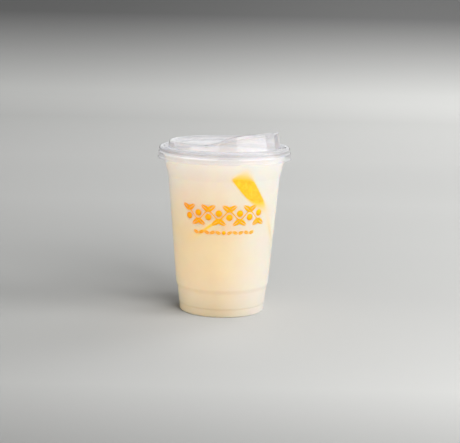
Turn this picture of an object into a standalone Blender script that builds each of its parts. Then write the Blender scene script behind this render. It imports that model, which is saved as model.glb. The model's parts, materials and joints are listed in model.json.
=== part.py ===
# A clear plastic takeaway cup full of cloudy lemonade, under a clear push-on lid with a raised spout.
# Metres, +Z up. The origin is the middle of the foot ring, on the surface the cup stands on. The front is -Y.
# Every pair of numbers named as a place on a section is (distance from the cup's axis, height).
import math

import bmesh
import bpy

# Driving dimensions
RIM_DIAMETER = 0.095
CUP_HEIGHT = 0.12205
SHEET = 0.0005
LID_SHEET = 0.00045
LID_RISE = 0.0035
SPOUT_RISE = 0.0077
DRINK_LEVEL = 0.1163
GAP = 0.0003
STEPS = 44
MERGE = 0.00001

# Floor and foot: a raised floor panel inside a ring that the drink runs down into
FLOOR_MIDDLE = (0.0, 0.0066)
FLOOR_EDGE = (0.0262, 0.0056)
FLOOR_CORNER = (0.0274, 0.0048)
FOOT_INSIDE = (0.0283, 0.0005)
FOOT_FLAT = (0.0289, 0.0309)
FOOT_ROUND = 0.0007
FOOT_TOP = (0.03165, 0.0056)

# Wall: a band, a long taper and a collar, with a stacking ledge between each two
BAND_BOTTOM = (0.03215, 0.0066)
BAND_TOP = (0.0332, 0.0177)
TAPER_BOTTOM = (0.0344, 0.0207)
TAPER_TOP = (0.0412, 0.1006)
COLLAR_BOTTOM = (0.0422, 0.1043)
COLLAR_MIDDLE = (0.0434, 0.1096)
COLLAR_TOP = (0.0447, 0.1176)
# A point near each end of a ledge, to ease it in: its share of the ledge's width, and its height
LEDGE_EASE = (0.25, 0.0007)

# Rolled rim: a tube whose sheet curls outwards and back under
RIM_TUBE = 0.00175
CURL = (-60, 170)
CURL_POINTS = 6

# Lid, from the middle outwards
DECK_RINGS = (0.0120, 0.0230)
RECESS_RADIUS = 0.0337
RECESS_DEPTH = 0.0018
RECESS_EASE = (0.5, 0.67)
RING_INNER = 0.0359
RING_OUTER = 0.0399
RING_EDGE = 0.04085
EDGE_DROP = 0.0009
WALL_FOOT = (0.0416, 0.1202)
VALLEY = ((0.0421, 0.1196), (0.0428, 0.1197), (0.0433, 0.1209))
BEAD_INNER = (0.0442, 0.00045)
BEAD_CREST = 0.0458
BEAD_OUTER = (0.0473, 0.0004)
SKIRT_RADIUS = 0.04835
SKIRT_DROPS = (0.0017, 0.0032)
SNAP_GROOVE = (0.0481, 0.1192)
FLARE = ((0.0486, 0.1185), (0.04905, 0.1152))
LIP_RADIUS = 0.0492
LIP_HEIGHTS = (0.1148, 0.1135)

# Spout: past a straight line across the lid its top climbs towards the front right
SPOUT_ANGLE = math.radians(-40)
CLIMB = (0.0125, 0.0375)
RECESS_FADE = (0.0095, 0.0165)
SIP_PLACE = 0.0330
SIP_SIZE = (0.0070, 0.0170, 0.0120)
SIP_ROUNDING = 0.0034
VENT_PLACE = -0.0220
VENT_SIZE = (0.0018, 0.0018, 0.0040)
VENT_ROUNDING = 0.0008
CREASE = math.radians(35)

# Finishes: colour, roughness and transmission
CLEAR_CUP = ((0.95, 0.96, 0.96), 0.06, 0.9)
CLEAR_LID = ((0.93, 0.93, 0.95), 0.08, 0.9)
CLOUDY_DRINK = ((0.90, 0.76, 0.52), 0.25, 0.0)


def arc(centre, radius, ends, count):
    """Points on an arc of a section, between two angles in degrees."""
    angles = [math.radians(ends[0] + (ends[1] - ends[0]) * i / (count - 1)) for i in range(count)]
    return [(centre[0] + radius * math.cos(a), centre[1] + radius * math.sin(a)) for a in angles]


def ledge(low, high):
    """A stacking ledge: its two ends, and a point near each that eases it into the wall."""
    out, up = (high[0] - low[0]) * LEDGE_EASE[0], LEDGE_EASE[1]
    return [low, (low[0] + out, low[1] + up), (high[0] - out, high[1] - up), high]


def offset(points, distance):
    """A section moved sideways to the right of the way it runs, with mitred corners."""
    sides = []
    for start, end in zip(points, points[1:]):
        across, up = end[0] - start[0], end[1] - start[1]
        length = math.hypot(across, up)
        sides.append((up / length, -across / length))
    moved = []
    for i, point in enumerate(points):
        before, after = sides[max(i - 1, 0)], sides[min(i, len(sides) - 1)]
        reach = distance / (1 + before[0] * after[0] + before[1] * after[1])
        moved.append((point[0] + (before[0] + after[0]) * reach, point[1] + (before[1] + after[1]) * reach))
    return moved


def smooth(value, ends):
    """0 below the first end, 1 above the second, and an S curve between them."""
    share = min(max((value - ends[0]) / (ends[1] - ends[0]), 0.0), 1.0)
    return share * share * (3 - 2 * share)


def cup_wall():
    """The cup's air side below the rim, from the top of the collar down to the middle of the floor."""
    floor = [FLOOR_MIDDLE, FLOOR_EDGE, FLOOR_CORNER]
    flat = [(radius, 0.0) for radius in FOOT_FLAT]
    foot = [FOOT_INSIDE] + flat + [(FOOT_FLAT[1] + FOOT_ROUND, FOOT_ROUND), FOOT_TOP]
    lower = [BAND_BOTTOM] + ledge(BAND_TOP, TAPER_BOTTOM)
    upper = ledge(TAPER_TOP, COLLAR_BOTTOM) + [COLLAR_MIDDLE, COLLAR_TOP]
    return list(reversed(floor + foot + lower + upper))


def cup_section():
    """The cup's whole air side, from the end of the rim's curl to the middle of the floor."""
    tube = (RIM_DIAMETER / 2 - RIM_TUBE, CUP_HEIGHT - RIM_TUBE)
    return arc(tube, RIM_TUBE - SHEET, CURL, CURL_POINTS) + cup_wall()


def drink_section():
    """The drink, clear of the cup's inside by the gap, from the middle of its top down to its underside."""
    inside = offset(cup_wall(), SHEET + GAP)
    over = [point for point in inside if point[1] > DRINK_LEVEL][-1]
    under = [point for point in inside if point[1] <= DRINK_LEVEL]
    share = (DRINK_LEVEL - under[0][1]) / (over[1] - under[0][1])
    edge = (under[0][0] + (over[0] - under[0][0]) * share, DRINK_LEVEL)
    return [(0.0, DRINK_LEVEL), edge] + under[:-1] + [(0.0, under[-1][1])]


def lid_section():
    """The lid's upper side before the spout rises, from the middle of the deck to the lip's edge."""
    crest = CUP_HEIGHT + GAP + LID_SHEET
    ring = crest + LID_RISE
    deck = ring - RECESS_DEPTH
    top = [(radius, deck) for radius in (0.0, *DECK_RINGS, RECESS_RADIUS)]
    ease = RECESS_RADIUS + (RING_INNER - RECESS_RADIUS) * RECESS_EASE[0]
    top += [(ease, deck + RECESS_DEPTH * RECESS_EASE[1]), (RING_INNER, ring)]
    top += [(RING_OUTER, ring), (RING_EDGE, ring - EDGE_DROP)]
    bead = [(BEAD_INNER[0], crest - BEAD_INNER[1]), (BEAD_CREST, crest), (BEAD_OUTER[0], crest - BEAD_OUTER[1])]
    skirt = [(SKIRT_RADIUS, crest - drop) for drop in SKIRT_DROPS]
    lip = [(LIP_RADIUS, height) for height in LIP_HEIGHTS]
    return top + [WALL_FOOT, *VALLEY] + bead + skirt + [SNAP_GROOVE, *FLARE] + lip


def finish(name, look):
    """A material of one colour, roughness and transmission."""
    material = bpy.data.materials.new(name)
    material.use_nodes = True
    surface = material.node_tree.nodes["Principled BSDF"]
    colour, roughness, transmission = look
    surface.inputs["Base Color"].default_value = (*colour, 1.0)
    surface.inputs["Roughness"].default_value = roughness
    surface.inputs["Metallic"].default_value = 0.0
    surface.inputs["Transmission Weight"].default_value = transmission
    return material


def turned(name, section, collection):
    """A section turned about the cup's axis."""
    wire = bpy.data.meshes.new(name)
    wire.from_pydata([(x, 0.0, z) for x, z in section], [(i, i + 1) for i in range(len(section) - 1)], [])
    piece = bpy.data.objects.new(name, wire)
    collection.objects.link(piece)
    screw = piece.modifiers.new("Turn", "SCREW")
    screw.steps = screw.render_steps = STEPS
    screw.use_merge_vertices = True
    screw.merge_threshold = MERGE
    return piece


def sheet(piece, thickness):
    """Gives a turned surface its thickness, behind its outer side."""
    wall = piece.modifiers.new("Sheet", "SOLIDIFY")
    wall.thickness = thickness
    wall.offset = -1
    wall.use_even_offset = True


def raise_spout(mesh):
    """Lifts the deck and ring past the line of the spout, and stretches the wall up to meet them."""
    crest = CUP_HEIGHT + GAP + LID_SHEET
    edge = crest + LID_RISE - EDGE_DROP
    for point in mesh.vertices:
        along = point.co.x * math.cos(SPOUT_ANGLE) + point.co.y * math.sin(SPOUT_ANGLE)
        radius = math.hypot(point.co.x, point.co.y)
        if radius > RING_EDGE + MERGE:
            continue
        rise = SPOUT_RISE * smooth(along, CLIMB)
        depth = crest + LID_RISE - point.co.z
        if radius < RING_INNER + MERGE:
            rise += depth * smooth(along, RECESS_FADE)
        lean = 1 - (WALL_FOOT[0] - RING_EDGE) / (edge - WALL_FOOT[1]) * rise / RING_EDGE
        if radius > RING_INNER + MERGE:
            point.co.x *= lean
            point.co.y *= lean
        point.co.z += rise


def cutter(name, along, size, rounding, collection):
    """A hidden block with rounded corners, standing across the spout's line at a distance along it."""
    block = bmesh.new()
    bmesh.ops.create_cube(block, size=1.0)
    bmesh.ops.scale(block, vec=size, verts=block.verts)
    upright = [edge for edge in block.edges if abs(edge.verts[0].co.z - edge.verts[1].co.z) > MERGE]
    bmesh.ops.bevel(block, geom=upright, offset=rounding, segments=4, profile=0.5, affect="EDGES", material=-1)
    mesh = bpy.data.meshes.new(name)
    block.to_mesh(mesh)
    block.free()
    tool = bpy.data.objects.new(name, mesh)
    height = CUP_HEIGHT + GAP + LID_SHEET + LID_RISE + SPOUT_RISE * smooth(along, CLIMB)
    tool.location = (along * math.cos(SPOUT_ANGLE), along * math.sin(SPOUT_ANGLE), height)
    tool.rotation_euler.z = SPOUT_ANGLE
    tool.hide_render = True
    tool.display_type = "WIRE"
    collection.objects.link(tool)
    return tool


def cut(piece, tool):
    """Cuts a piece with a hidden block."""
    hole = piece.modifiers.new("Cut " + tool.name, "BOOLEAN")
    hole.operation = "DIFFERENCE"
    hole.solver = "EXACT"
    hole.object = tool


def make_cup(collection):
    cup = turned("cup", cup_section(), collection)
    sheet(cup, SHEET)
    cup.data.materials.append(finish("clear cup plastic", CLEAR_CUP))


def make_drink(collection):
    drink = turned("lemonade", drink_section(), collection)
    drink.data.materials.append(finish("cloudy lemonade", CLOUDY_DRINK))


def make_lid(collection, cutters):
    lid = turned("lid", lid_section(), collection)
    view = bpy.context.evaluated_depsgraph_get()
    mesh = bpy.data.meshes.new_from_object(lid.evaluated_get(view))
    lid.modifiers.clear()
    lid.data = mesh
    raise_spout(mesh)
    mesh.shade_smooth()
    mesh.set_sharp_from_angle(angle=CREASE)
    sheet(lid, LID_SHEET)
    cut(lid, cutter("sip_opening", SIP_PLACE, SIP_SIZE, SIP_ROUNDING, cutters))
    cut(lid, cutter("vent_hole", VENT_PLACE, VENT_SIZE, VENT_ROUNDING, cutters))
    lid.data.materials.append(finish("clear lid plastic", CLEAR_LID))


def main():
    for old in list(bpy.data.objects):
        bpy.data.objects.remove(old)
    parts = bpy.data.collections.new("cup_of_lemonade")
    cutters = bpy.data.collections.new("cutters")
    for collection in (parts, cutters):
        bpy.context.scene.collection.children.link(collection)
    make_cup(parts)
    make_drink(parts)
    make_lid(parts, cutters)


main()
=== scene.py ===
# Looks of a takeaway cup of cloudy lemonade: clear cup and lid, the drink, lemon in it and a plain print.
# Metres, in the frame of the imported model. A pair of numbers is (distance from the cup's axis, height).
import json
import math
import random

import bmesh
import bpy
from mathutils import Matrix, Vector
from mathutils.bvhtree import BVHTree

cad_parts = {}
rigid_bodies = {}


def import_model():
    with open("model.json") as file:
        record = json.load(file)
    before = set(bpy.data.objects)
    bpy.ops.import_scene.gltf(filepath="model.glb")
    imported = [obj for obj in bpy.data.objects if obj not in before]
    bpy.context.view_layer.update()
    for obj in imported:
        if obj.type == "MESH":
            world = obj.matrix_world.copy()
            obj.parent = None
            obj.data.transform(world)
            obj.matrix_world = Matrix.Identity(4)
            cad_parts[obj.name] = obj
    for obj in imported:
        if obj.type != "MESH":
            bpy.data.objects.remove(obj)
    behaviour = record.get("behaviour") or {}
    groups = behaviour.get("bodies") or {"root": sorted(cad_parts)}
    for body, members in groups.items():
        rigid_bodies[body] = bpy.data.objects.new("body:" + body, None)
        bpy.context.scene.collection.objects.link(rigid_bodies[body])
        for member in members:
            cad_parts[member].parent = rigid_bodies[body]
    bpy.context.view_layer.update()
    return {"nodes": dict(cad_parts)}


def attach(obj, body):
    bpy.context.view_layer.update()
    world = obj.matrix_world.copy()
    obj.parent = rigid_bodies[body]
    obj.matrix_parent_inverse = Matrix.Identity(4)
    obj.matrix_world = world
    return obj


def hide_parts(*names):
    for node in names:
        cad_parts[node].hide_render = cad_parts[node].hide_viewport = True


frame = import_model()
print("frame loaded:", sorted(frame["nodes"]))

weld = 0.000005  # points closer than this are one
insideCup = (0, 0, 0.06)


# Sections: lists of (radius, height) that are turned about the cup's axis

def roundCorners(corners, steps=4):  # corners are (radius, height, rounding)
    nearHalf = 0.48  # the share of a side that one rounding may take
    line = [Vector(corner[:2]) for corner in corners]
    smooth = []
    for index, point in enumerate(line):
        rounding = corners[index][2]
        if index in (0, len(line) - 1) or not rounding:
            smooth.append(point)
            continue
        before, after = line[index - 1] - point, line[index + 1] - point
        half = (math.pi - before.angle(after)) / 2
        reach = min(rounding * math.tan(half), before.length * nearHalf, after.length * nearHalf)
        start, end = point + before.normalized() * reach, point + after.normalized() * reach
        for step in range(steps + 1):
            share = step / steps
            smooth.append(start.lerp(point, share).lerp(point.lerp(end, share), share))
    return smooth


def arcPoints(centre, radius, fromAngle, toAngle, count):
    points = []
    for step in range(count):
        angle = math.radians(fromAngle + (toAngle - fromAngle) * step / (count - 1))
        points.append(Vector((centre[0] + radius * math.cos(angle), centre[1] + radius * math.sin(angle))))
    return points


def sideways(points, distance):  # to the right of the way the section runs
    sides = []
    for start, end in zip(points, points[1:]):
        step = (end - start).normalized()
        sides.append(Vector((step.y, -step.x)))
    moved = []
    for index, point in enumerate(points):
        before, after = sides[max(index - 1, 0)], sides[min(index, len(sides) - 1)]
        moved.append(point + (before + after) * distance / (1 + before.dot(after)))
    return moved


def divided(points, longest):  # the same section with points no further apart than this
    fine = [points[0]]
    for start, end in zip(points, points[1:]):
        count = max(1, math.ceil((end - start).length / longest))
        fine += [start.lerp(end, step / count) for step in range(1, count + 1)]
    return fine


def radiusAt(line, height):  # how far out a rising section is at a height
    for low, high in zip(line, line[1:]):
        if low.y <= height <= high.y:
            return low.x + (high.x - low.x) * (height - low.y) / max(high.y - low.y, weld)
    return line[0].x if height < line[0].y else line[-1].x


def wallPart(line, start):  # the part of a section that is further out and higher than its start
    return [point for point in line if point.x > start[0] and point.y > start[1]]


def smoothStep(value, ends):
    share = min(max((value - ends[0]) / (ends[1] - ends[0]), 0.0), 1.0)
    return share * share * (3 - 2 * share)


# Meshes

def turned(section, steps, sectors=20):  # one sector is spun and then repeated, because a long spin is slow
    shape = bmesh.new()
    verts = [shape.verts.new((point.x, 0.0, point.y)) for point in section]
    edges = [shape.edges.new(pair) for pair in zip(verts, verts[1:])]
    sector = math.tau / sectors
    bmesh.ops.spin(shape, geom=verts + edges, cent=(0, 0, 0), axis=(0, 0, 1), angle=sector,
                   steps=steps // sectors, use_merge=False, use_duplicate=False)
    whole = shape.verts[:] + shape.edges[:] + shape.faces[:]
    bmesh.ops.spin(shape, geom=whole, cent=(0, 0, 0), axis=(0, 0, 1), angle=math.tau - sector,
                   steps=sectors - 1, use_merge=False, use_duplicate=True)
    bmesh.ops.remove_doubles(shape, verts=shape.verts, dist=weld)
    bmesh.ops.dissolve_degenerate(shape, edges=shape.edges, dist=weld)
    return shape


def faceAway(shape, inner):  # makes the widest face, and with it the rest, look away from a point
    bmesh.ops.recalc_face_normals(shape, faces=shape.faces)
    probe = max(shape.faces, key=lambda face: face.calc_area())
    if probe.normal.dot(probe.calc_center_median() - Vector(inner)) < 0:
        bmesh.ops.reverse_faces(shape, faces=shape.faces)


def pieceFrom(shape, name, materials, sharp=60):
    mesh = bpy.data.meshes.new(name)
    shape.to_mesh(mesh)
    shape.free()
    piece = bpy.data.objects.new(name, mesh)
    bpy.context.scene.collection.objects.link(piece)
    for material in materials:
        mesh.materials.append(material)
    mesh.shade_smooth()
    mesh.set_sharp_from_angle(angle=math.radians(sharp))
    return piece


def applyModifiers(piece):
    bpy.context.view_layer.update()
    view = bpy.context.evaluated_depsgraph_get()
    mesh = bpy.data.meshes.new_from_object(piece.evaluated_get(view))
    piece.modifiers.clear()
    piece.data = mesh


def addSheet(piece, thickness):  # the section is the side the sheet shows, and its thickness goes behind it
    wall = piece.modifiers.new("sheet", "SOLIDIFY")
    wall.thickness = thickness
    wall.offset = -1


def roundLip(piece, width):  # takes the sharp edges off the sheet's free edge
    lip = piece.modifiers.new("lip", "BEVEL")
    lip.width = width
    lip.segments = 3
    lip.limit_method = "ANGLE"
    lip.angle_limit = math.radians(60)


# Shader helpers: a Link is a socket that can be calculated with, a Finish is a material being made

class Link:
    def __init__(self, finish, socket):
        self.finish = finish
        self.socket = socket

    def maths(self, operation, first, second):
        return self.finish.node("Math", {"operation": operation}, {0: first, 1: second})

    def __mul__(self, other):
        return self.maths("MULTIPLY", self, other)

    def __rmul__(self, other):
        return self.maths("MULTIPLY", other, self)


class Finish:
    def __init__(self, name):
        self.material = bpy.data.materials.new(name)
        self.material.use_nodes = True
        self.tree = self.material.node_tree
        self.tree.nodes.clear()

    def node(self, kind, settings=None, values=None, output=0):
        made = self.tree.nodes.new("ShaderNode" + kind)
        for key, value in (settings or {}).items():
            if key == "stops":
                while len(made.color_ramp.elements) < len(value):
                    made.color_ramp.elements.new(1.0)
                for stop, (place, colour) in zip(made.color_ramp.elements, value):
                    stop.position = place
                    stop.color = colour
            else:
                setattr(made, key, value)
        for key, value in (values or {}).items():
            if isinstance(value, Link):
                self.tree.links.new(value.socket, made.inputs[key])
            else:
                made.inputs[key].default_value = value
        return Link(self, made.outputs[output])

    def place(self):  # the object's own coordinates, in metres
        return self.node("TexCoord", output="Object")

    def along(self, axis):  # one of those coordinates
        return self.node("SeparateXYZ", {}, {0: self.place()}, axis)

    def noise(self, scale, detail=2.0, roughness=0.5):
        values = {"Vector": self.place(), "Scale": scale, "Detail": detail, "Roughness": roughness}
        return self.node("TexNoise", {}, values, "Fac")

    def blend(self, factor, first, second, how="MIX"):
        settings = {"data_type": "RGBA", "blend_type": how}
        return self.node("Mix", settings, {"Factor": factor, 6: first, 7: second}, 2)

    def remap(self, value, fromLow, fromHigh, toLow=0.0, toHigh=1.0, how="LINEAR"):
        values = {"Value": value, 1: fromLow, 2: fromHigh, 3: toLow, 4: toHigh}
        return self.node("MapRange", {"interpolation_type": how}, values)

    def done(self, shader):
        end = self.tree.nodes.new("ShaderNodeOutputMaterial")
        self.tree.links.new(shader.socket, end.inputs["Surface"])
        return self.material


def rgb(red, green, blue):
    return (red, green, blue, 1.0)


def clearPlastic(name, look):  # lets light and shadow rays through, so that what is behind it is lit
    finish = Finish(name)
    ripple = finish.noise(look["rippleScale"])
    bump = finish.node("Bump", {}, {"Strength": 0.35, "Distance": look["ripple"], "Height": ripple})
    surface = finish.node("BsdfPrincipled", {}, {
        "Base Color": look["colour"],
        "Roughness": look["roughness"],
        "IOR": look["ior"],
        "Specular IOR Level": look["gloss"],
        "Transmission Weight": look["clear"],
        "Normal": bump,
    })
    shadow = finish.node("LightPath", output="Is Shadow Ray")
    bounce = finish.node("LightPath", output="Is Diffuse Ray")
    through = finish.node("BsdfTransparent", {}, {"Color": look["colour"]})
    factor = finish.node("Math", {"operation": "MAXIMUM"}, {0: shadow, 1: bounce})
    return finish.done(finish.node("MixShader", {}, {0: factor, 1: surface, 2: through}))


# Cup

cupShape = {
    "sheet": 0.0005,
    "steps": 240,
    "outside": [  # from the middle of the floor, round the foot and up the wall, with each corner's rounding
        (0.0, 0.0066, 0.0), (0.0262, 0.0056, 0.0012), (0.0274, 0.0048, 0.0012), (0.0283, 0.0005, 0.0005),
        (0.0289, 0.0, 0.0004), (0.0309, 0.0, 0.0008), (0.0316, 0.0007, 0.0010), (0.03165, 0.0056, 0.0004),
        (0.03215, 0.0066, 0.0008), (0.0332, 0.0177, 0.0045), (0.0344, 0.0207, 0.0045),
        (0.0412, 0.1006, 0.0030), (0.0422, 0.1043, 0.0030), (0.0434, 0.1096, 0.0060),
        (0.0447, 0.1176, 0.0006),
    ],
    "rimCentre": (0.04575, 0.1203),
    "rimTube": 0.00175,
    "rimCurl": (170, -60),  # degrees round the rim's tube
    "rimPoints": 22,
    "wallFrom": (0.0315, 0.005),
    "plastic": {
        "colour": rgb(0.99, 0.99, 0.99), "roughness": 0.26, "ior": 1.50, "clear": 1.0, "gloss": 0.12,
        "ripple": 0.00006, "rippleScale": 55.0,
    },
}
cupOutside = roundCorners(cupShape["outside"])
outerWall = wallPart(cupOutside, cupShape["wallFrom"])


def makeCup():
    radius = cupShape["rimTube"] - cupShape["sheet"]
    curl = arcPoints(cupShape["rimCentre"], radius, *cupShape["rimCurl"], cupShape["rimPoints"])
    shape = turned(cupOutside + curl, cupShape["steps"])
    faceAway(shape, insideCup)
    piece = pieceFrom(shape, "clearCup", [clearPlastic("clear cup plastic", cupShape["plastic"])])
    addSheet(piece, cupShape["sheet"])
    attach(piece, "root")
    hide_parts("cup")


# Lid

lidShape = {
    "sheet": 0.00045,
    "lipRounding": 0.00018,
    "steps": 240,
    "outside": [  # deck and raised ring, wall down to the channel, bead over the rim, skirt and lip
        (0.0, 0.1245, 0.0), (0.0337, 0.1245, 0.0016), (0.0359, 0.1263, 0.0010), (0.0399, 0.1263, 0.0008),
        (0.04085, 0.1254, 0.0008), (0.0416, 0.1202, 0.0010), (0.0424, 0.1195, 0.0008),
        (0.0433, 0.1209, 0.0020), (0.0443, 0.1224, 0.0016), (0.0458, 0.1228, 0.0040),
        (0.0474, 0.1224, 0.0020), (0.04835, 0.1207, 0.0014), (0.0481, 0.1192, 0.0008),
        (0.0487, 0.1183, 0.0009), (0.0490, 0.1167, 0.0030), (0.0488, 0.1151, 0.0004),
        (0.0492, 0.1146, 0.0003), (0.0492, 0.1135, 0.0),
    ],
    "longestStep": 0.0008,
    "ring": 0.1263,
    "ringInner": 0.0359,
    "ringEdge": 0.04085,
    "wallFoot": (0.0416, 0.1202),
    "wallTop": 0.1254,
    "plastic": {
        "colour": rgb(0.985, 0.98, 0.995), "roughness": 0.09, "ior": 1.50, "clear": 0.94, "gloss": 0.5,
        "ripple": 0.00010, "rippleScale": 55.0,
    },
}
spoutShape = {
    "angle": math.radians(-40),
    "rise": 0.0077,
    "climb": (0.0125, 0.0375),  # from the lid's middle towards the spout
    "recessFade": (0.0095, 0.0165),  # where the deck's recess fills in
    "sipPlace": 0.0330,
    "sipSize": (0.0070, 0.0170, 0.0120),
    "sipRounding": 0.0034,
    "ventPlace": -0.0220,
    "ventSize": (0.0018, 0.0018, 0.0040),
    "ventRounding": 0.00085,
}


def spoutRise(along):
    return spoutShape["rise"] * smoothStep(along, spoutShape["climb"])


def raiseSpout(shape):  # lifts the deck towards the spout, fills its recess there and keeps the wall's slant
    ring, foot, top = lidShape["ring"], lidShape["wallFoot"], lidShape["wallTop"]
    draft = (foot[0] - lidShape["ringEdge"]) / (top - foot[1])
    for vert in shape.verts:
        point = vert.co
        radius = point.xy.length
        along = point.x * math.cos(spoutShape["angle"]) + point.y * math.sin(spoutShape["angle"])
        lift = spoutRise(along)
        if point.z < foot[1] or radius > foot[0]:
            continue
        onWall = min(max((point.z - foot[1]) / (top - foot[1]), 0.0), 1.0)
        if radius < lidShape["ringInner"]:
            lift += (ring - point.z) * smoothStep(along, spoutShape["recessFade"])
        elif radius < lidShape["ringEdge"]:
            onWall = 1.0
        lean = 1 - draft * lift * onWall / lidShape["ringEdge"]
        if radius > lidShape["ringInner"]:
            point.x *= lean
            point.y *= lean
        point.z += lift * onWall


def addCut(piece, name, along, size, rounding):
    block = bmesh.new()
    bmesh.ops.create_cube(block, size=1.0)
    bmesh.ops.scale(block, vec=size, verts=block.verts)
    upright = [edge for edge in block.edges if abs(edge.verts[0].co.z - edge.verts[1].co.z) > weld]
    bmesh.ops.bevel(block, geom=upright, offset=rounding, segments=10, profile=0.5, affect="EDGES",
                    material=-1)
    height = lidShape["ring"] + spoutRise(along)
    turn = Matrix.Rotation(spoutShape["angle"], 4, "Z")
    bmesh.ops.transform(block, matrix=turn @ Matrix.Translation((along, 0, height)), verts=block.verts)
    tool = pieceFrom(block, name, [])
    hole = piece.modifiers.new(name, "BOOLEAN")
    hole.operation = "DIFFERENCE"
    hole.solver = "MANIFOLD"
    hole.object = tool
    return tool


def makeLid():
    section = divided(roundCorners(lidShape["outside"]), lidShape["longestStep"])
    shape = turned(section, lidShape["steps"])
    faceAway(shape, insideCup)
    raiseSpout(shape)
    piece = pieceFrom(shape, "clearLid", [clearPlastic("clear lid plastic", lidShape["plastic"])])
    addSheet(piece, lidShape["sheet"])
    roundLip(piece, lidShape["lipRounding"])
    look = spoutShape
    cuts = [addCut(piece, "sipCut", look["sipPlace"], look["sipSize"], look["sipRounding"]),
            addCut(piece, "ventCut", look["ventPlace"], look["ventSize"], look["ventRounding"])]
    applyModifiers(piece)
    for tool in cuts:
        bpy.data.objects.remove(tool)
    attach(piece, "root")
    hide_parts("lid")


# Print: a trailing vine with leaves and round fruit over a sprig of small leaves, thin ink on the front wall

printShape = {
    "turn": math.radians(1.2),
    "middle": 0.0766,
    "halfLength": 0.0284,
    "wave": 0.0153,
    "waveRise": 0.0030,
    "stem": 0.0011,
    "stemRows": 90,
    "stemTaper": (0.7, 6),  # how much thinner its ends are, and how suddenly
    "leafSize": (0.0074, 0.0036),
    "leafSlant": math.radians(34),
    "leafOffset": 0.00506,
    "leafSpread": 0.13,  # of a wave, to each side of a crest
    "leafVein": 0.07,  # of a leaf's width
    "leafPoint": 1.5,  # how pointed a leaf's ends are
    "leafLean": 0.25,  # how much wider it is towards the stalk
    "fruitRadius": 0.0024,
    "fruitOffset": 0.0014,
    "sprigHeight": 0.0640,
    "sprigLeaves": 5,
    "sprigStep": 0.0043,
    "sprigLeafSize": (0.0042, 0.0022),
    "sprigSlant": math.radians(24),
    "sprigFruitRadius": 0.00144,
    "strip": 0.0014,  # widest flat strip before the print is bent round the wall
    "inkTop": 0.00004,
    "inkDepth": 0.00006,
    # painted light: the ink is paler orange towards the right, the lit side
    "left": rgb(1.0, 0.33, 0.0),
    "right": rgb(1.0, 0.50, 0.0),
    "acrossRange": (-0.028, 0.028),
    "pale": rgb(1.0, 0.62, 0.05),
    "paleShare": 0.15,
    "patchScale": 420.0,
    "patchRange": (0.3, 0.7),
    "roughness": (0.42, 0.5),
    # painted light: the ink glows a little, though it is no lamp
    "glow": 0.15,
}


def printInk():
    look = printShape
    finish = Finish("orange ink")
    patchy = finish.remap(finish.noise(look["patchScale"]), *look["patchRange"])
    # painted light: paler towards the lit right
    across = finish.remap(finish.along("X"), *look["acrossRange"])
    colour = finish.blend(across, look["left"], look["right"])
    colour = finish.blend(patchy * look["paleShare"], colour, look["pale"])
    surface = finish.node("BsdfPrincipled", {}, {
        "Base Color": colour,
        "Roughness": finish.remap(patchy, 0.0, 1.0, *look["roughness"]),
        "Specular IOR Level": 0.1,
        # painted light: the ink's own colour, glowing
        "Emission Color": colour,
        "Emission Strength": look["glow"],
    })
    return finish.done(surface)


def inkDisc(shape, place, radius):
    verts = bmesh.ops.create_circle(shape, cap_ends=True, segments=32, radius=radius)["verts"]
    bmesh.ops.translate(shape, vec=place, verts=verts)


def inkLeaf(shape, place, size, slant):  # two halves with a bare vein between them
    vein = size[1] * printShape["leafVein"]
    for side in (-1, 1):
        verts = bmesh.ops.create_circle(shape, cap_ends=True, segments=36, radius=1.0)["verts"]
        for vert in verts:
            bulge = max(vert.co.y * side, 0.0) ** printShape["leafPoint"]
            bulge *= 1 - printShape["leafLean"] * vert.co.x
            vert.co = (vert.co.x * size[0] / 2, side * (bulge * (size[1] / 2 - vein) + vein), 0)
        turn = Matrix.Translation(place) @ Matrix.Rotation(slant, 4, "Z")
        bmesh.ops.transform(shape, matrix=turn, verts=verts)


def inkVine(shape):
    look = printShape
    turns = math.tau / look["wave"]
    taper, power = look["stemTaper"]
    grid = bmesh.ops.create_grid(shape, x_segments=look["stemRows"], y_segments=1, size=1.0)
    for vert in grid["verts"]:
        along = vert.co.x * look["halfLength"]
        rise = look["waveRise"] * math.sin(along * turns)
        width = look["stem"] * (1 - taper * abs(vert.co.x) ** power)
        vert.co = (along, look["middle"] + rise + vert.co.y * width / 2, 0)
    quarters = math.floor(look["halfLength"] / look["wave"] * 4)
    for quarter in range(-quarters, quarters + 1):
        if quarter % 2 == 0:  # leaves and fruit sit at the crests only
            continue
        along = quarter * look["wave"] / 4
        side = 1 if math.sin(along * turns) > 0 else -1
        inkDisc(shape, (along, look["middle"] - side * look["fruitOffset"], 0), look["fruitRadius"])
        for way in (-1, 1):
            aside = way * look["wave"] * look["leafSpread"]
            place = (along + aside, look["middle"] + side * look["leafOffset"], 0)
            inkLeaf(shape, place, look["leafSize"], math.pi * (way < 0) + way * side * look["leafSlant"])


def inkSprig(shape):
    look = printShape
    inkDisc(shape, (0, look["sprigHeight"], 0), look["sprigFruitRadius"])
    for number in range(1, look["sprigLeaves"] + 1):
        for way in (-1, 1):
            place = (way * number * look["sprigStep"], look["sprigHeight"], 0)
            slant = look["sprigSlant"] * (1 if number % 2 else -1)
            inkLeaf(shape, place, look["sprigLeafSize"], math.pi * (way < 0) + way * slant)


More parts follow.
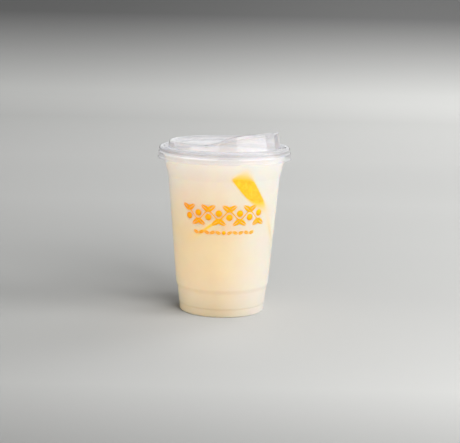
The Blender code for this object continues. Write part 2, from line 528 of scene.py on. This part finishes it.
def makePrint():
    look = printShape
    shape = bmesh.new()
    inkVine(shape)
    inkSprig(shape)
    bmesh.ops.dissolve_degenerate(shape, edges=shape.edges, dist=weld)
    place = look["strip"] / 2 - look["halfLength"] - look["wave"]
    while place < look["halfLength"] + look["wave"]:
        bmesh.ops.bisect_plane(shape, geom=shape.verts[:] + shape.edges[:] + shape.faces[:], dist=weld,
                               plane_co=(place, 0, 0), plane_no=(1, 0, 0))
        place += look["strip"]
    girth = radiusAt(outerWall, look["middle"])
    for vert in shape.verts:
        turn = vert.co.x / girth + look["turn"]
        radius = radiusAt(outerWall, vert.co.y) + look["inkTop"]
        vert.co = (radius * math.sin(turn), -radius * math.cos(turn), vert.co.y)
    shape.normal_update()
    inward = [face for face in shape.faces if face.normal.xy.dot(face.calc_center_median().xy) < 0]
    bmesh.ops.reverse_faces(shape, faces=inward)
    piece = pieceFrom(shape, "frontPrint", [printInk()])
    addSheet(piece, look["inkDepth"])
    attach(piece, "root")


# The drink's outline, which the lemon stays inside

drinkShape = {
    "level": 0.1163,
    "intoWall": 0.00028,  # how far past the wall's inner side the drink reaches
    "wallFrom": (0.031, 0.007),
    "meniscus": 0.0008,
    "meniscusWidth": 0.0024,
    "meniscusSteps": 8,
    "meniscusCurve": 2.4,
    "rowStep": 0.0009,
    "topStep": 0.0030,
    "steps": 300,
}
drinkSide = sideways(cupOutside, -cupShape["sheet"] + drinkShape["intoWall"])
innerWall = wallPart(drinkSide, drinkShape["wallFrom"])


# Lemon: a slim lengthwise wedge, halved across, and two thin half slices whose rims touch the wall

peelLook = {
    "colours": (rgb(0.91, 0.46, 0.0), rgb(0.92, 0.56, 0.0)),
    "patchScale": 260.0,
    "patchRange": (0.35, 0.65),
    "poreScale": 750.0,
    "poreRange": (0.1, 0.6),
    "poreDepth": 0.0001,
    "poreRim": rgb(0.98, 0.64, 0.03),
    "poreRimRange": (0.40, 0.72),
    "poreRimShare": 0.6,
    # painted light: the peel glows a little, though it is no lamp
    "glow": 0.15,
}
insideLook = {
    "pith": (rgb(0.95, 0.88, 0.62), rgb(0.96, 0.91, 0.72), 500.0),  # two colours and how finely they mottle
    "flesh": (rgb(0.93, 0.74, 0.22), rgb(0.95, 0.82, 0.38), 700.0),
    "mottleRange": (0.35, 0.65),
    "scatter": 0.002,
    "scatterRadius": (1.0, 0.7, 0.3),
    "scatterShare": 0.4,
}
wedgeShape = {
    "centre": Vector((0.0038, -0.0188, 0.1039)),
    "along": Vector((0.605, 0.080, -0.793)),  # from the cut across the lemon towards its tip
    "outward": Vector((0.312, -0.943, 0.115)),
    "radius": 0.0222,
    "length": 0.0364,
    "angle": math.radians(32.9),
    "bend": -0.0020,  # how far the tip swings sideways
    "rows": 56,
    "steps": 22,
    "layers": (0.0, 0.25, 0.5, 0.7, 0.8, 0.86, 0.90, 0.93, 0.955, 0.98, 1.0),
    "flesh": 0.865,  # the flesh and the pith end at these shares of the way out
    "pith": 0.957,
    "tipStretch": 0.05,
    "tipFrom": (1.2, 1.5),
    "keptDepth": 0.5,  # how much of the depth under the peel is kept where the wall presses the wedge flat
    "sharp": 50,
}
sliceShape = {
    "radius": 0.026,
    "thickness": 0.0017,
    "rimRounding": 0.0006,
    "steps": 180,
    "rings": (0.12, 0.3, 0.5, 0.7),
    "segments": 5,
    "membrane": 0.05,
    "core": 0.1,
    "flesh": 0.84,
    "pith": 0.945,
    "peel": 0.965,
    "wallLean": -0.08,
    "sharp": 50,
    "places": [  # where the rim meets the wall, the way it runs there, and how far it is pushed past it
        (Vector((-0.0093, -0.0369, 0.0685)), Vector((0.783, -0.155, 0.602)), 0.0002),
        (Vector((0.0338, -0.0170, 0.0640)), Vector((0.15, 0.42, -0.80)), -0.0010),
    ],
}
peelPoke = 0.00005  # how far peel that is pressed to the wall stands past the drink's surface


def lemonPeel():
    look = peelLook
    finish = Finish("lemon peel")
    pores = finish.node("TexVoronoi", {}, {"Vector": finish.place(), "Scale": look["poreScale"]}, "Distance")
    dimple = finish.remap(pores, *look["poreRange"])
    bump = finish.node("Bump", {}, {"Strength": 0.4, "Distance": look["poreDepth"], "Height": dimple})
    patchy = finish.remap(finish.noise(look["patchScale"]), *look["patchRange"])
    colour = finish.blend(patchy, *look["colours"])
    rim = finish.remap(pores, *look["poreRimRange"], 0.0, look["poreRimShare"])
    colour = finish.blend(rim, colour, look["poreRim"])
    surface = finish.node("BsdfPrincipled", {}, {
        "Base Color": colour,
        "Roughness": 0.4,
        "Specular IOR Level": 0.1,
        # painted light: the peel's own colour, glowing
        "Emission Color": colour,
        "Emission Strength": look["glow"],
        "Normal": bump,
    })
    return finish.done(surface)


def lemonInside(layer):
    look = insideLook
    finish = Finish("lemon " + layer)
    colour, paler, scale = look[layer]
    mottle = finish.remap(finish.noise(scale, 3.0), *look["mottleRange"])
    surface = finish.node("BsdfPrincipled", {}, {
        "Base Color": finish.blend(mottle, colour, paler),
        "Roughness": 0.35,
        "Subsurface Weight": look["scatterShare"],
        "Subsurface Radius": look["scatterRadius"],
        "Subsurface Scale": look["scatter"],
    })
    return finish.done(surface)


def keepInside(shape, margin):  # presses what would stand past the drink's surface flat against the wall
    for vert in shape.verts:
        limit = radiusAt(innerWall, vert.co.z) + margin(vert)
        radius = vert.co.xy.length
        if radius > limit:
            vert.co.x *= limit / radius
            vert.co.y *= limit / radius


def makeWedge(materials):  # a quarter of the lemon's outline in layers, spun through the wedge's angle
    look = wedgeShape
    shape = bmesh.new()
    layers, rows = look["layers"], look["rows"]
    bmesh.ops.create_grid(shape, x_segments=rows, y_segments=len(layers) - 1, size=0.5)
    for vert in shape.verts:
        turn = (vert.co.x + 0.5) * math.pi / 2
        layer = layers[round((vert.co.y + 0.5) * (len(layers) - 1))]
        tip = 1 + look["tipStretch"] * smoothStep(turn, look["tipFrom"])
        vert.co = (look["radius"] * math.cos(turn) * layer, 0, look["length"] * math.sin(turn) * layer * tip)
    bmesh.ops.remove_doubles(shape, verts=shape.verts, dist=weld)
    turnBack = Matrix.Rotation(-look["angle"] / 2, 4, "Z")
    bmesh.ops.transform(shape, matrix=turnBack, verts=shape.verts)
    whole = shape.verts[:] + shape.edges[:] + shape.faces[:]
    bmesh.ops.spin(shape, geom=whole, cent=(0, 0, 0), axis=(0, 0, 1), angle=look["angle"],
                   steps=look["steps"], use_merge=False, use_duplicate=False)
    bmesh.ops.remove_doubles(shape, verts=shape.verts, dist=weld)
    bmesh.ops.dissolve_degenerate(shape, edges=shape.edges, dist=weld)
    bmesh.ops.recalc_face_normals(shape, faces=shape.faces)

    def layerAt(point):
        return Vector((point.x / look["radius"], point.y / look["radius"], point.z / look["length"])).length

    for face in shape.faces:
        layer = layerAt(face.calc_center_median())
        face.material_index = 0 if layer > look["pith"] else 1 if layer > look["flesh"] else 2
    kept = look["radius"] * look["keptDepth"]
    depth = {vert: (1 - min(layerAt(vert.co), 1.0)) * kept for vert in shape.verts}
    for vert in shape.verts:
        vert.co.y += look["bend"] * (vert.co.z / look["length"]) ** 2
    along = look["along"].normalized()
    outward = (look["outward"] - along * look["outward"].dot(along)).normalized()
    across = along.cross(outward)
    frameTurn = Matrix((outward, across, along)).transposed().to_4x4()
    bmesh.ops.transform(shape, matrix=Matrix.Translation(look["centre"]) @ frameTurn, verts=shape.verts)
    keepInside(shape, lambda vert: peelPoke - depth[vert])
    return pieceFrom(shape, "lemonWedge", materials, look["sharp"])


def makeSlice(name, place, materials):
    look = sliceShape
    touch, way, press = place
    half = look["thickness"] / 2
    shares = (*look["rings"], look["flesh"], look["pith"])
    corners = [(0.0, -half, 0.0)] + [(look["radius"] * share, -half, 0.0) for share in shares]
    corners += [(look["radius"], -half, look["rimRounding"]), (look["radius"], half, look["rimRounding"])]
    corners += [(look["radius"] * share, half, 0.0) for share in reversed(shares)] + [(0.0, half, 0.0)]
    shape = turned(roundCorners(corners), look["steps"])
    bmesh.ops.bisect_plane(shape, geom=shape.verts[:] + shape.edges[:] + shape.faces[:], dist=weld,
                           plane_co=(0, 0, 0), plane_no=(-1, 0, 0), clear_outer=True)
    bmesh.ops.holes_fill(shape, edges=shape.edges, sides=0)
    bmesh.ops.recalc_face_normals(shape, faces=shape.faces)
    for face in shape.faces:
        middle = face.calc_center_median()
        radius = middle.xy.length / look["radius"]
        turn = (math.atan2(middle.y, middle.x) / math.pi + 0.5) * look["segments"] % 1.0
        membrane = min(turn, 1 - turn) * radius < look["membrane"] or radius < look["core"]
        pithy = radius > look["flesh"] or membrane
        face.material_index = 0 if radius > look["peel"] else 1 if pithy else 2
    outward = Vector((touch.x, touch.y, look["wallLean"] * touch.xy.length)).normalized()
    along = (way - outward * way.dot(outward)).normalized()
    turn = Matrix((outward, along, outward.cross(along))).transposed().to_4x4()
    centre = touch - outward * (look["radius"] - press)
    bmesh.ops.transform(shape, matrix=Matrix.Translation(centre) @ turn, verts=shape.verts)
    keepInside(shape, lambda vert: peelPoke)
    return pieceFrom(shape, name, materials, look["sharp"])


def makeLemon():
    layers = [lemonPeel(), lemonInside("pith"), lemonInside("flesh")]
    pieces = [makeWedge(layers)]
    for number, place in enumerate(sliceShape["places"], 1):
        pieces.append(makeSlice(f"lemonSlice{number}", place, layers))
    for piece in pieces:
        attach(piece, "root")
    return pieces


# Drink

drinkLook = {
    "byHeight": [  # colour by share of the way up to the level: painted shade darkens it towards the foot and on its top face, and painted light pales the band just under the top
        (0.0, rgb(0.685, 0.555, 0.370)), (0.12, rgb(0.825, 0.685, 0.475)), (0.30, rgb(0.955, 0.730, 0.470)),
        (0.55, rgb(0.985, 0.715, 0.445)), (0.78, rgb(0.975, 0.770, 0.590)),
        (0.965, rgb(0.960, 0.850, 0.765)), (0.985, rgb(0.80, 0.74, 0.67)),
    ],
    "paintedLitSide": rgb(0.990, 0.910, 0.870),  # painted light: paler towards the right, the side the softbox lights
    "paintedLitSideRange": (-0.006, 0.030),  # where the painted light grows, towards the right
    "paintedLitSideShare": 0.68,
    "swirlNoise": (38.0, 3.0, 0.55),  # scale, detail and roughness
    "swirlRange": (0.3, 0.7, 0.965, 1.03),  # of the noise, and how dark and light it makes the drink
    "pulp": rgb(0.97, 0.86, 0.60),
    "pulpNoise": (900.0, 2.0, 0.6),
    "pulpRange": (0.62, 0.74),
    "pulpShare": 0.12,
    "scatter": 0.008,
    "footScatter": 0.004,
    "footHeight": 0.0064,
    "scatterRadius": (1.0, 0.72, 0.48),
    "roughness": 0.35,
    "ior": 1.34,
    "gloss": 0.1,
    # painted light: the lemon seen in the drink glows a little, though it is no lamp
    "lemonGlow": 0.2,
}


def cloudyDrink(name, scatter):
    look = drinkLook
    finish = Finish(name)
    share = finish.remap(finish.along("Z"), 0.0, drinkShape["level"])
    # painted light and shade by height, from the byHeight stops
    depth = finish.node("ValToRGB", {"stops": look["byHeight"]}, {"Fac": share})
    swirl = finish.remap(finish.noise(*look["swirlNoise"]), *look["swirlRange"])
    pulp = finish.remap(finish.noise(*look["pulpNoise"]), *look["pulpRange"], 0.0, look["pulpShare"])
    gray = finish.node("CombineColor", {}, {0: swirl, 1: swirl, 2: swirl})
    cloud = finish.blend(1.0, depth, gray, "MULTIPLY")
    # painted light: the drink is paler towards its lit right side
    side = finish.remap(finish.along("X"), *look["paintedLitSideRange"], 0.0, look["paintedLitSideShare"], "SMOOTHSTEP")
    cloud = finish.blend(side, cloud, look["paintedLitSide"])
    cloud = finish.blend(pulp, cloud, look["pulp"])
    seen = finish.node("Attribute", {"attribute_name": "lemonSeen"}, {}, "Color")
    amount = finish.node("Attribute", {"attribute_name": "lemonSeen"}, {}, "Alpha")
    surface = finish.node("BsdfPrincipled", {}, {
        "Base Color": finish.blend(amount, cloud, seen),
        # painted light: a glow in the colour of the lemon seen under the surface
        "Emission Color": finish.blend(amount, rgb(0, 0, 0), seen),
        "Emission Strength": look["lemonGlow"],
        "Roughness": look["roughness"],
        "IOR": look["ior"],
        "Specular IOR Level": look["gloss"],
        "Subsurface Weight": 1.0,
        "Subsurface Radius": look["scatterRadius"],
        "Subsurface Scale": scatter,
    })
    return finish.done(surface)


veil = {
    "clearDepth": 0.0034,  # the depth at which the cloudy drink hides most of what is in it
    "reach": 0.0070,  # lemon deeper than this doesn't show
    "rays": 24,
    "spread": math.radians(52),
    "jitter": 0.2,
    "lift": 0.0004,  # rays start this far above the surface, to meet peel that is level with it
    "seed": 4,
    "peel": Vector((0.96, 0.60, 0.0)),
    "pith": Vector((0.93, 0.80, 0.45)),
    "flesh": Vector((0.92, 0.72, 0.20)),
}
veilColours = [veil[layer] for layer in ("peel", "pith", "flesh")]
noLemon = (*veil["peel"], 0.0)  # a colour, and how much of it shows


def lemonTrees(pieces):  # each piece's search tree, its faces' layers, and the box round it that it shows in
    found = []
    for piece in pieces:
        corners = [vert.co.copy() for vert in piece.data.vertices]
        polygons = [tuple(polygon.vertices) for polygon in piece.data.polygons]
        slots = [polygon.material_index for polygon in piece.data.polygons]
        low = Vector([min(corner[axis] for corner in corners) - veil["reach"] for axis in range(3)])
        high = Vector([max(corner[axis] for corner in corners) + veil["reach"] for axis in range(3)])
        found.append((BVHTree.FromPolygons(corners, polygons), slots, low, high))
    return found


def rayFan():  # directions spread over a cone about Z
    draw = random.Random(veil["seed"])
    goldenAngle = math.pi * (3 - math.sqrt(5))
    rays = []
    for step in range(veil["rays"]):
        slant = veil["spread"] * math.sqrt((step + 0.5) / veil["rays"])
        turn = step * goldenAngle + draw.random() * veil["jitter"]
        across = math.sin(slant)
        rays.append(Vector((across * math.cos(turn), across * math.sin(turn), math.cos(slant))))
    return rays


def lemonUnder(vert, near, rays):  # the colour of the lemon under a point of the surface, and how much shows
    inward = -vert.normal
    turn = inward.to_track_quat("Z", "Y")
    start = vert.co - inward * veil["lift"]
    amount, colour = 0.0, Vector((0, 0, 0))
    for ray in rays:
        hits = []
        for tree, slots in near:
            hit, _, face, distance = tree.ray_cast(start, turn @ ray, veil["reach"])
            if hit is not None:
                hits.append((distance, slots[face]))
        if hits:
            distance, slot = min(hits)
            passed = max(distance - veil["lift"] / ray.z, 0.0)
            weight = ray.z * math.exp(-passed / veil["clearDepth"])
            amount += weight
            colour += weight * veilColours[slot]
    if amount == 0:
        return noLemon
    return (*(colour / amount), min(amount / sum(ray.z for ray in rays), 1.0))


def seenThroughCloud(shape, pieces):  # colours the drink's surface by the lemon just under it
    trees, rays = lemonTrees(pieces), rayFan()
    layer = shape.verts.layers.float_color.new("lemonSeen")
    for vert in shape.verts:
        near = [(tree, slots) for tree, slots, low, high in trees
                if all(low[axis] < vert.co[axis] < high[axis] for axis in range(3))
                and tree.find_nearest(vert.co, veil["reach"])[0] is not None]
        vert[layer] = lemonUnder(vert, near, rays) if near else noLemon


def drinkSection():
    level, rise, width = drinkShape["level"], drinkShape["meniscus"], drinkShape["meniscusWidth"]
    wall = [Vector((0.0, drinkSide[0].y))]
    wall += [point for point in drinkSide[1:] if point.y < level + rise - weld]
    edge = Vector((radiusAt(innerWall, level + rise), level + rise))
    meniscus = []
    for step in range(1, drinkShape["meniscusSteps"]):
        share = step / drinkShape["meniscusSteps"]
        drop = (1 - share) ** drinkShape["meniscusCurve"]
        meniscus.append(Vector((edge.x - width * share, level + rise * drop)))
    side = divided(wall + [edge], drinkShape["rowStep"])
    top = divided([Vector((edge.x - width, level)), Vector((0.0, level))], drinkShape["topStep"])
    return side + meniscus + top


def makeDrink(lemon):
    shape = turned(drinkSection(), drinkShape["steps"])
    bmesh.ops.recalc_face_normals(shape, faces=shape.faces)
    shape.normal_update()
    seenThroughCloud(shape, lemon)
    for face in shape.faces:
        face.material_index = int(face.calc_center_median().z < drinkLook["footHeight"])
    finishes = [cloudyDrink("cloudy lemonade", drinkLook["scatter"]),
                cloudyDrink("cloudy lemonade in the foot", drinkLook["footScatter"])]
    piece = pieceFrom(shape, "cloudyDrink", finishes)
    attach(piece, "root")
    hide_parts("lemonade")


# Stage: a pale gray sheet that sweeps up far behind the cup; painted light and shade vary its gray along the
# floor and darken the sweep

stageLook = {
    "width": 9.0,
    "front": -5.0,
    "sweepStart": 2.3,
    "sweepRadius": 1.6,
    "sweep": (-90, -49, 30),  # from and to, in degrees, and how many points
    "floorRange": (-0.35, 1.85),
    "floor": [  # gray by share of the way along that range, painted light and shade: darker in front and far back, palest behind the cup
        (0.0, 0.150), (0.07, 0.32), (0.18, 0.36), (0.28, 0.435), (0.40, 0.500), (0.60, 0.490), (0.93, 0.383),
    ],
    "warmth": 0.975,
    "fade": (0.012, 0.230),  # heights between which painted shade darkens the sheet
    # painted shade: the near-black gray the sweep darkens to, for the light falling off
    "backdrop": rgb(0.122, 0.122, 0.121),
}
# the pieces that the floor's lamps light, and those that the cup's lamps light
lit = {target: bpy.data.collections.new(target + " light") for target in ("floor", "cup")}


def grayPaper():
    look = stageLook
    finish = Finish("gray sheet with painted falloff")
    away = finish.remap(finish.along("Y"), *look["floorRange"])
    stops = [(at, rgb(gray, gray, gray * look["warmth"])) for at, gray in look["floor"]]
    floor = finish.node("ValToRGB", {"stops": stops}, {"Fac": away})
    # painted shade: darker up the sweep
    fade = finish.remap(finish.along("Z"), *look["fade"])
    return finish.done(finish.node("BsdfPrincipled", {}, {
        # painted light and shade: the floor's gray ramp, darkened up the sweep
        "Base Color": finish.blend(fade, floor, look["backdrop"]),
        "Roughness": 0.6,
        "Specular IOR Level": 0.0,
    }))


def makeStage():
    shape = bmesh.new()
    radius, start = stageLook["sweepRadius"], stageLook["sweepStart"]
    line = [Vector((stageLook["front"], 0))]
    line += arcPoints((start, radius), radius, *stageLook["sweep"])
    verts = [shape.verts.new((-stageLook["width"] / 2, point.x, point.y)) for point in line]
    edges = [shape.edges.new(pair) for pair in zip(verts, verts[1:])]
    side = bmesh.ops.extrude_edge_only(shape, edges=edges)["geom"]
    moved = [part for part in side if isinstance(part, bmesh.types.BMVert)]
    bmesh.ops.translate(shape, vec=(stageLook["width"], 0, 0), verts=moved)
    bmesh.ops.recalc_face_normals(shape, faces=shape.faces)
    piece = pieceFrom(shape, "graySheet", [grayPaper()])
    lit["floor"].objects.link(piece)


# Light: softboxes for the cup, others for the floor, and lamps that only show in reflections

white = (1.0, 1.0, 1.0)
warm = (1.0, 0.98, 0.95)
# place, what it is aimed at, size, watts, colour, what it lights, and the width of its beam in degrees;
# floorGlow is the light that the cup throws on the floor in front of it
lamps = {
    "sideSoftbox": ((0.80, -0.47, 0.60), (0, 0, 0.08), (0.9, 0.7), 8.6, warm, "cup", 180),
    "topSoftbox": ((0.40, 0.25, 1.2), (0, 0, 0.1), (0.6, 0.6), 1.0, white, "cup", 180),
    "leftCard": ((-0.50, -0.55, 0.30), (0, 0, 0.14), (0.9, 0.3), 4.3, warm, "cup", 180),
    "backSoftbox": ((1.5, 2.2, 1.5), (0.5, 1.7, 0), (2.6, 1.2), 38.0, white, "cup", 180),
    "sideShine": ((0.87, -0.50, 0.33), (0, 0, 0.12), (1.4, 0.45), 4.3, white, None, 180),
    "leftShine": ((-0.50, -0.55, 0.22), (0, 0, 0.12), (0.9, 0.3), 1.3, white, None, 180),
    "topShine": ((0.40, 0.25, 1.2), (0, 0, 0.1), (0.6, 0.6), 4.0, white, None, 180),
    "rearShine": ((0.9, 2.2, 0.46), (0, 0, 0.12), (3.6, 0.34), 0.6, white, None, 180),
    "floorSide": ((0.80, -0.47, 0.60), (0, 0, 0.08), (0.9, 0.7), 8.4, white, "floor", 180),
    "floorFront": ((0.45, -0.75, 0.55), (0, 0, 0.05), (0.7, 0.6), 2.7, white, "floor", 180),
    "floorNear": ((0.35, -0.65, 0.30), (0, 0, 0), (0.5, 0.4), 6.3, white, "floor", 180),
    "floorLow": ((0.22, -1.00, 0.45), (0, 0, 0), (0.6, 0.4), 3.7, white, "floor", 180),
    "floorRight": ((1.10, -0.20, 0.45), (0, 0, 0), (0.6, 0.4), 8.0, white, "floor", 180),
    "floorBack": ((0.95, 2.2, 1.5), (0.3, 2.0, 0), (2.6, 1.2), 16.0, white, "floor", 100),
    "backRight": ((2.2, 2.4, 1.5), (1.2, 2.2, 0), (2.0, 1.0), 23.0, white, "floor", 110),
    "backLeft": ((-1.6, 2.4, 1.5), (-1.2, 2.2, 0), (2.0, 1.0), 7.8, white, "floor", 110),
    "floorGlow": ((0, -0.08, 0.05), (0, -0.08, 0), (0.05, 0.08), 0.006, warm, "floor", 180),
}
room = {"light": 0.25, "shine": 0.92, "backdrop": 0.10}  # its light, its reflections and its look
roomColour = rgb(0.96, 0.98, 1.0)


def addLamp(name, place, target, size, power, colour, on, spread):  # on None only shows in reflections
    lamp = bpy.data.lights.new(name, "AREA")
    lamp.shape = "RECTANGLE"
    lamp.size, lamp.size_y = size
    lamp.energy = power
    lamp.color = colour
    lamp.spread = math.radians(spread)
    thing = bpy.data.objects.new(name, lamp)
    bpy.context.scene.collection.objects.link(thing)
    turn = (Vector(target) - Vector(place)).to_track_quat("-Z", "Y").to_matrix().to_4x4()
    thing.matrix_world = Matrix.Translation(place) @ turn
    thing.visible_camera = False
    thing.visible_diffuse = on is not None
    thing.visible_glossy = on is None
    thing.visible_transmission = on is None
    if on:
        thing.light_linking.receiver_collection = lit[on]


def makeLight():
    world = bpy.data.worlds.new("soft room")
    world.use_nodes = True
    nodes, links = world.node_tree.nodes, world.node_tree.links
    nodes.clear()
    path = nodes.new("ShaderNodeLightPath")
    sky = {}
    for use, strength in room.items():
        sky[use] = nodes.new("ShaderNodeBackground")
        sky[use].inputs["Color"].default_value = roomColour
        sky[use].inputs["Strength"].default_value = strength
    shown = sky["light"]
    for ray, use in (("Is Glossy Ray", "shine"), ("Is Camera Ray", "backdrop")):
        mix = nodes.new("ShaderNodeMixShader")
        links.new(path.outputs[ray], mix.inputs[0])
        links.new(shown.outputs[0], mix.inputs[1])
        links.new(sky[use].outputs[0], mix.inputs[2])
        shown = mix
    links.new(shown.outputs[0], nodes.new("ShaderNodeOutputWorld").inputs[0])
    bpy.context.scene.world = world
    for name, values in lamps.items():
        addLamp(name, *values)


def lightCup():  # every piece but the sheet is lit by the cup's own lamps
    for piece in bpy.context.scene.objects:
        if piece.type == "MESH" and piece.name not in lit["floor"].objects:
            lit["cup"].objects.link(piece)


# Camera

cameraView = {
    "place": (0.00504, -0.8685, 0.2139),
    "lens": 92.68,
    "sensor": 36,
    "tilt": math.radians(90 - 9.67),  # from looking straight down
    "roll": math.radians(1.2),
    "clip": (0.01, 50),
}


def makeCamera():
    view = bpy.data.cameras.new("camera")
    view.lens = cameraView["lens"]
    view.sensor_width = cameraView["sensor"]
    view.clip_start, view.clip_end = cameraView["clip"]
    thing = bpy.data.objects.new("camera", view)
    bpy.context.scene.collection.objects.link(thing)
    tilt = Matrix.Rotation(cameraView["tilt"], 4, "X")
    roll = Matrix.Rotation(cameraView["roll"], 4, "Z")
    thing.matrix_world = Matrix.Translation(cameraView["place"]) @ tilt @ roll
    bpy.context.scene.camera = thing


makeCamera()
makeLight()
makeStage()
print("stage, light and camera ready")
makeCup()
makeLid()
makePrint()
print("cup, lid and print ready")
lemon = makeLemon()
print("lemon ready")
makeDrink(lemon)
lightCup()
print("drink ready")

scene = bpy.context.scene
scene.view_settings.view_transform = "Standard"
scene.cycles.use_denoising = True
scene.cycles.max_bounces = 20
scene.cycles.transmission_bounces = 16
scene.cycles.transparent_max_bounces = 16
